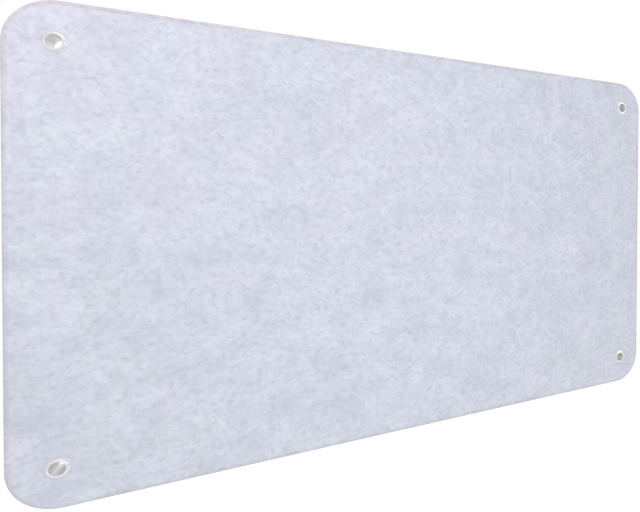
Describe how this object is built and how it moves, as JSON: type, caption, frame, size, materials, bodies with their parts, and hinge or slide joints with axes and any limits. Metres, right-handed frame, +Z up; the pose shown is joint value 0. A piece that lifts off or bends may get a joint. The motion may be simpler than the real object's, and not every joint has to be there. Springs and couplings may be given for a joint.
{
  "type": "acoustic wall panel",
  "caption": "Flat felt acoustic wall panel, a bonded sandwich board with rounded corners and set metal eyelets near its corners for hanging or screwing to a wall.",
  "frame": {"origin": "middle of the back face, in the wall plane, centred between the four eyelets", "axes": "+Z up, +X to the right as seen from the front, the felt face looks along -Y and the wall lies in the plane y = 0"},
  "size_m": [1, 0.0222, 0.6],
  "materials": {
    "felt": "matte",
    "core_fibre": "matte",
    "nickel_plated_brass": "satin"
  },
  "bodies": {
    "root": {"front_felt_skin": "felt", "core_board": "core_fibre", "rear_felt_skin": "felt", "eyelet_top_left": "nickel_plated_brass", "eyelet_top_right": "nickel_plated_brass", "eyelet_bottom_left": "nickel_plated_brass", "eyelet_bottom_right": "nickel_plated_brass", "washer_top_left": "nickel_plated_brass", "washer_top_right": "nickel_plated_brass", "washer_bottom_left": "nickel_plated_brass", "washer_bottom_right": "nickel_plated_brass"}
  },
  "joints": []
}
